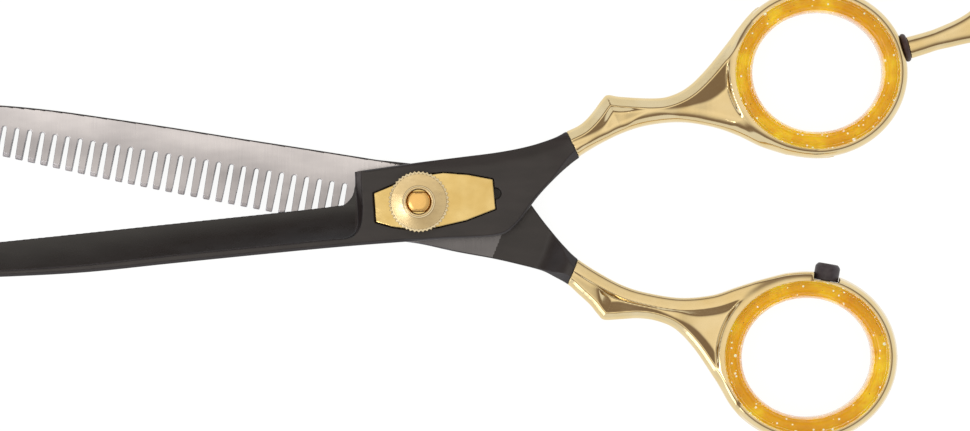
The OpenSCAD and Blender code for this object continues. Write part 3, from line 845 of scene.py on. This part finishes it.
def bump(tree, shader, height, strength, distance_mm):
    """Fine relief on a shader's surface."""
    node = tree.nodes.new("ShaderNodeBump")
    node.inputs["Strength"].default_value = strength
    node.inputs["Distance"].default_value = distance_mm * MM
    tree.links.new(height, node.inputs["Height"])
    tree.links.new(node.outputs["Normal"], shader.inputs["Normal"])


def gold(name, light, deep, rough, wave, wave_scale=0.9):
    """Polished gold plate with faint polishing waves and hairlines."""
    material, tree, shader = new_material(name)
    shader.inputs["Metallic"].default_value = 1.0
    vector = object_coords(tree)
    tone = noise(tree, vector, 0.25, 2)
    tree.links.new(ramp(tree, tone, [(0.3, deep), (0.7, light)]), shader.inputs["Base Color"])
    smear = noise(tree, object_coords(tree, (0.3, 1, 1), 0.5), 2.2, 5)
    tree.links.new(ramp(tree, smear, [(0.3, rough * 0.7), (0.75, rough * 1.5)]), shader.inputs["Roughness"])
    bump(tree, shader, noise(tree, vector, wave_scale, 1.5), wave, 0.03 / wave_scale)
    return material


def black_coat(name, deep, light, rough):
    """Satin black coating with a fine blasted grain."""
    material, tree, shader = new_material(name)
    shader.inputs["Metallic"].default_value = 0.0
    shader.inputs["Specular IOR Level"].default_value = 0.55
    tone = noise(tree, object_coords(tree, (0.4, 1, 1)), 0.35, 4)
    tree.links.new(ramp(tree, tone, [(0.3, deep), (0.7, light)]), shader.inputs["Base Color"])
    smear = noise(tree, object_coords(tree, (0.3, 1, 1), 0.1), 0.8, 6)
    tree.links.new(ramp(tree, smear, [(0.3, rough), (0.7, rough + 0.12)]), shader.inputs["Roughness"])
    bump(tree, shader, noise(tree, object_coords(tree), 9, 2), 0.25, 0.012)
    return material


def painted_shade_gradient(tree, direction, stations, values):
    """A painted-shade factor that goes from one value to another between two stations along a direction, in
    mm.
    """
    along = tree.nodes.new("ShaderNodeVectorMath")
    along.operation = "DOT_PRODUCT"
    along.inputs[1].default_value = direction
    tree.links.new(object_coords(tree), along.inputs[0])
    span = tree.nodes.new("ShaderNodeMapRange")
    tree.links.new(along.outputs["Value"], span.inputs["Value"])
    for socket, number in zip(("From Min", "From Max", "To Min", "To Max"), (*stations, *values)):
        span.inputs[socket].default_value = number
    return span.outputs["Result"]


def satin_steel(name, turn):
    """Steel with fine grinding lines across the blade, with painted shade darkening it towards the teeth and
    a painted shadow darkening it behind the pivot.
    """
    material, tree, shader = new_material(name)
    shader.inputs["Metallic"].default_value = 1.0
    cloud = noise(tree, object_coords(tree, (0.35, 1, 1), turn), 0.22, 3)
    lines = noise(tree, object_coords(tree, (5, 0.12, 1), turn), 1.4, 6, 0.65)
    tone = ramp(tree, cloud, [(0.3, (0.52, 0.505, 0.54)), (0.7, (0.71, 0.69, 0.73))])
    # painted shade: darker towards the tooth roots, standing in for the tilt of the hollow-ground face
    across = painted_shade_gradient(tree, (-math.sin(turn), math.cos(turn), 0), (-1.0, 3.5), (0.72, 1.0))
    # painted shadow: darker behind the pivot, where the front half shades the ride face
    behind = painted_shade_gradient(tree, (1, 0, 0), (-4.0, 0.5), (1.0, 0.36))
    tree.links.new(times(tree, times(tree, tone, across), behind), shader.inputs["Base Color"])
    tree.links.new(ramp(tree, lines, [(0.3, 0.25), (0.7, 0.4)]), shader.inputs["Roughness"])
    bump(tree, shader, lines, 0.35, 0.01)
    return material


def turned_gold(name, light, deep):
    """Gold with concentric turning marks, seen as bright and dark sectors."""
    material = gold(name, light, deep, 0.2, 0.1)
    tree = material.node_tree
    shader = tree.nodes["Principled BSDF"]
    shader.inputs["Anisotropic"].default_value = 0.75
    tangent = tree.nodes.new("ShaderNodeTangent")
    tangent.direction_type = "RADIAL"
    tangent.axis = "Z"
    tree.links.new(tangent.outputs["Tangent"], shader.inputs["Tangent"])
    return material


def flecks(tree, vector, scale, size, share):
    """Round spots in a share of the cells of a Voronoi pattern."""
    cells = tree.nodes.new("ShaderNodeTexVoronoi")
    cells.inputs["Scale"].default_value = scale
    tree.links.new(vector, cells.inputs["Vector"])
    parts = tree.nodes.new("ShaderNodeSeparateColor")
    tree.links.new(cells.outputs["Color"], parts.inputs["Color"])
    near = maths(tree, "LESS_THAN", cells.outputs["Distance"], size)
    few = maths(tree, "LESS_THAN", parts.outputs["Red"], share)
    return maths(tree, "MULTIPLY", near, few)


def amber():
    """Clouded translucent amber with pale glitter and a few dark specks."""
    material, tree, shader = new_material("Amber_insert")
    vector = object_coords(tree)
    cloud = noise(tree, vector, 0.14, 5, 0.6)
    colour = ramp(tree, cloud, [(0.3, (0.66, 0.28, 0.004)), (0.5, (0.76, 0.375, 0.006)),
                                (0.66, (0.92, 0.60, 0.016))])
    for scale, size, share in ((1.2, 0.2, 0.36), (0.62, 0.17, 0.16)):
        colour = mixed(tree, flecks(tree, vector, scale, size, share), colour, (0.98, 0.9, 0.62))
    colour = mixed(tree, flecks(tree, vector, 1.7, 0.13, 0.07), colour, (0.05, 0.02, 0.01))
    tree.links.new(colour, shader.inputs["Base Color"])
    shader.inputs["Roughness"].default_value = 0.14
    shader.inputs["IOR"].default_value = 1.4
    shader.inputs["Transmission Weight"].default_value = 0.25
    shader.inputs["Subsurface Weight"].default_value = 0.35
    shader.inputs["Subsurface Radius"].default_value = (2 * MM, 1 * MM, 0.3 * MM)
    shader.inputs["Subsurface Scale"].default_value = 1.0
    bump(tree, shader, noise(tree, vector, 1.1, 2), 0.4, 0.06)
    return material


def rubber(name, deep, light):
    """Matte moulded rubber with a fine grain."""
    material, tree, shader = new_material(name)
    tone = noise(tree, object_coords(tree), 1.5, 4)
    tree.links.new(ramp(tree, tone, [(0.3, deep), (0.7, light)]), shader.inputs["Base Color"])
    shader.inputs["Roughness"].default_value = 0.5
    bump(tree, shader, noise(tree, object_coords(tree), 6, 3), 0.3, 0.03)
    return material


def polymer():
    """The friction washer's white plastic."""
    material, tree, shader = new_material("White_polymer")
    tone = noise(tree, object_coords(tree), 0.8, 4)
    tree.links.new(ramp(tree, tone, [(0.3, 0.72), (0.7, 0.82)]), shader.inputs["Base Color"])
    shader.inputs["Roughness"].default_value = 0.45
    return material


# -------------------- building the shears


def assign(piece, *materials):
    """Gives an object its materials, in order."""
    piece.data.materials.clear()
    for material in materials:
        piece.data.materials.append(material)


def mark_faces(piece, chosen):
    """Gives faces their materials; chosen takes face centres in millimetres and normals."""
    mesh = piece.data
    count = len(mesh.polygons)
    centres, normals = np.zeros(count * 3, np.float32), np.zeros(count * 3, np.float32)
    mesh.polygons.foreach_get("center", centres)
    mesh.polygons.foreach_get("normal", normals)
    picked = chosen(centres.reshape(-1, 3) / MM, normals.reshape(-1, 3))
    mesh.polygons.foreach_set("material_index", picked.astype(np.int32))


FLAT = 0.8  # the least |z| of the normal of a face that counts as flat
SPINE_BAND = 0.25
FRONT_RIDE_END = 19
REAR_RIDE_END = ((13.6, -5.2), (12.1, -8.9))


def bare_rear(centres, normals):
    """The ride face of the toothed half, up to where its coating begins."""
    x, y, z = centres.T
    u, v = turned(centres[:, :2], -REAR_TURN).T
    spine = height_at(u, REAR_BACK_UV) - v < SPINE_BAND
    flat = (normals[:, 2] > FLAT) & (z > REAR_HIGH - 0.6) & ~spine
    teeth = (v < 0.9) & (x < -10) & (z > REAR_HIGH - 0.45)
    return (flat | teeth) & (beyond(x, y, REAR_RIDE_END) < 0)


def bare_front(centres, normals):
    """1 on the ride face underneath, 2 in the hollow behind the cutting edge."""
    x, y, z = centres.T
    under = (normals[:, 2] < -FLAT) & (z < FRONT_LOW + 0.05) & (x < FRONT_RIDE_END)
    hollow = (normals[:, 2] > 0) & (x < -10.4) & (y > height_at(x, BLADE_SHOULDER) + 0.12)
    return under + 2 * hollow


COAT = black_coat("Black_coat", (0.013, 0.0088, 0.0082), (0.0195, 0.0134, 0.0127), 0.33)
HOLLOW_COAT = black_coat("Black_coat_hollow", (0.008, 0.0065, 0.0065), (0.013, 0.011, 0.011), 0.22)
GOLD = gold("Gold_plate", (0.765, 0.62, 0.36), (0.72, 0.555, 0.28), 0.1, 0.35)
PLATE_GOLD = gold("Tension_plate_gold", (0.80, 0.615, 0.275), (0.66, 0.47, 0.17), 0.12, 1.0, 0.3)
NUT_GOLD = turned_gold("Turned_gold", (0.78, 0.62, 0.36), (0.69, 0.53, 0.28))
BOLT_GOLD = gold("Bolt_gold", (0.88, 0.56, 0.20), (0.82, 0.5, 0.17), 0.2, 0.2)
AMBER = amber()
RUBBER = rubber("Black_rubber", (0.024, 0.016, 0.018), (0.042, 0.029, 0.032))
WASHER_RUBBER = rubber("Washer_rubber", (0.03, 0.012, 0.009), (0.05, 0.02, 0.016))

FRONT_STEEL = satin_steel("Front_ride_face", math.radians(-6))
REAR_STEEL = satin_steel("Rear_ride_face", REAR_TURN)

# Name, field, the grid's low corner, high corner, step and turn, body, slot, CAD node, materials, and what
# picks among them.
CARVED = [
    ("Front_blade", front_blade_field, (-86, -13.6, 0.2), (28.5, 14, 7), (0.2, 0.13, 0.13), 0,
     "front_half", "black_coat", "front_blade", (COAT, FRONT_STEEL, HOLLOW_COAT), bare_front),
    ("Rear_blade", rear_blade_field, (-86, -14.8, 0), (29.5, 7.6, 6.5), (0.14, 0.15, 0.14), REAR_TURN,
     "rear_half", "satin_steel", "rear_blade", (COAT, REAR_STEEL), bare_rear),
    ("Front_handle", front_handle_field, (23, 6, 0.2), (81, 36, 6.6), (0.17,) * 3, 0,
     "front_half", "gold_plate", "front_handle", (GOLD,), None),
    ("Rear_handle", rear_handle_field, (23, -40.5, 0.2), (79.5, -8.5, 6.6), (0.17,) * 3, 0,
     "rear_half", "gold_plate", "rear_handle", (GOLD,), None),
    ("Finger_rest", finger_rest_field, (76.5, 22.4, 1.2), (101.6, 41.7, 5.6), (0.13,) * 3, 0,
     "rest", "gold_plate", "finger_rest", (GOLD,), None),
    ("Tension_plate", tension_plate_field, (-8, -5.2, 5.6), (13.2, 5.4, 7.2), (0.12, 0.12, 0.06), 0,
     "front_half", "gold_fastener", "tension_plate", (PLATE_GOLD,), None),
]

for name, field, low, high, step, angle, body, slot, node, materials, chosen in CARVED:
    piece = carve(name, field, low, high, step, angle)
    assign(piece, *materials)
    if chosen:
        mark_faces(piece, chosen)
    place(piece, body, slot, node)

for piece, body, slot, material, node in [
        (ring_insert("Front_ring_insert", FRONT_RING), "front_half", "amber_insert", AMBER,
         "front_ring_insert"),
        (ring_insert("Rear_ring_insert", REAR_RING), "rear_half", "amber_insert", AMBER, "rear_ring_insert"),
        (tension_nut(), "nut", "gold_fastener", NUT_GOLD, "tension_nut"),
        (pivot_bolt(), "front_half", "gold_fastener", BOLT_GOLD, "pivot_bolt"),
        (finger_rest_washer(), "front_half", "black_rubber", WASHER_RUBBER, "finger_rest_washer"),
        (bumper(), "rear_half", "black_rubber", RUBBER, "bumper")]:
    assign(piece, material)
    place(piece, body, slot, node)

for node, material in [("bumper_stud", satin_steel("Stud_steel", 0)), ("pivot_bush", BOLT_GOLD),
                       ("friction_washer", polymer())]:
    assign(frame["nodes"][node], material)

# -------------------- floor, light and camera


FLOOR_GAP = 0.03
FLOOR_REACH = 3.0


def floor():
    """A plain white table top."""
    mesh = bpy.data.meshes.new("Floor")
    level = (BOLT_LOW - FLOOR_GAP) * MM
    corners = [(x * FLOOR_REACH, y * FLOOR_REACH, level) for x, y in ((-1, -1), (1, -1), (1, 1), (-1, 1))]
    mesh.from_pydata(corners, [], [(0, 1, 2, 3)])
    piece = bpy.data.objects.new("Floor", mesh)
    bpy.context.scene.collection.objects.link(piece)
    material, _, shader = new_material("Floor_white")
    shader.inputs["Base Color"].default_value = (0.13, 0.13, 0.13, 1)
    shader.inputs["Roughness"].default_value = 0.9
    shader.inputs["Specular IOR Level"].default_value = 0.0
    shader.inputs["Emission Color"].default_value = (1, 1, 0.99, 1)
    shader.inputs["Emission Strength"].default_value = 0.92
    mesh.materials.append(material)


LIGHT_SIDE = (-0.09, 0.12, 1)
BRIGHT, WHITE = (1.15, 1.15, 1.15), (1, 1, 1)


def studio():
    """A white room with a soft light overhead and a darker band between it and the bright walls.

    Matte surfaces are lit evenly by a bright sky instead, and the camera sees white.
    """
    world = bpy.data.worlds.new("Studio")
    bpy.context.scene.world = world
    world.use_nodes = True
    tree = world.node_tree
    background = tree.nodes["Background"]
    coords = tree.nodes.new("ShaderNodeTexCoord")
    height = tree.nodes.new("ShaderNodeVectorMath")
    height.operation = "DOT_PRODUCT"
    height.inputs[1].default_value = Vector(LIGHT_SIDE).normalized()
    tree.links.new(coords.outputs["Generated"], height.inputs[0])
    shade = ramp(tree, height.outputs["Value"], [
        (0.0, (0.96, 0.99, 1.07)), (0.45, (0.94, 0.97, 1.04)), (0.52, (0.30, 0.24, 0.2)),
        (0.70, (0.26, 0.2, 0.165)), (0.80, (0.45, 0.39, 0.34)), (0.90, (0.82, 0.77, 0.68)),
        (0.97, (1.06, 0.99, 0.87)), (1.0, (1.15, 1.08, 0.96))])
    path = tree.nodes.new("ShaderNodeLightPath")
    lit = mixed(tree, path.outputs["Is Diffuse Ray"], shade, BRIGHT)
    seen = mixed(tree, path.outputs["Is Camera Ray"], lit, WHITE)
    tree.links.new(seen, background.inputs["Color"])
    background.inputs["Strength"].default_value = 1.0
    softbox("Side_lamp", (-0.5, -0.42, 0.3), 0.3, 0.45)
    softbox("High_lamp", (-0.255, -0.12, 0.53), 0.14, 0.25)


def softbox(name, place_at, size, power):
    """A square lamp, its side in metres and its power in watts, that faces the pivot."""
    light = bpy.data.lights.new(name, "AREA")
    light.shape = "SQUARE"
    light.size = size
    light.energy = power
    lamp = bpy.data.objects.new(name, light)
    lamp.location = place_at
    direction = -lamp.location
    lamp.rotation_mode = "QUATERNION"
    lamp.rotation_quaternion = direction.to_track_quat("-Z", "Y")
    bpy.context.scene.collection.objects.link(lamp)


VIEW_CENTRE = (0.01079, -0.00225)
VIEW_WIDTH = 0.15902
LENS, SENSOR = 180.0, 36.0


def camera():
    """Straight down on the shears, framed on the pivot and the rings."""
    data = bpy.data.cameras.new("Camera")
    data.lens, data.sensor_width = LENS, SENSOR
    height = VIEW_WIDTH * LENS / SENSOR
    data.clip_end = 10
    eye = bpy.data.objects.new("Camera", data)
    eye.location = (*VIEW_CENTRE, MID_Z * MM + height)
    bpy.context.scene.collection.objects.link(eye)
    bpy.context.scene.camera = eye


floor()
studio()
camera()
bpy.context.scene.view_settings.view_transform = "Standard"
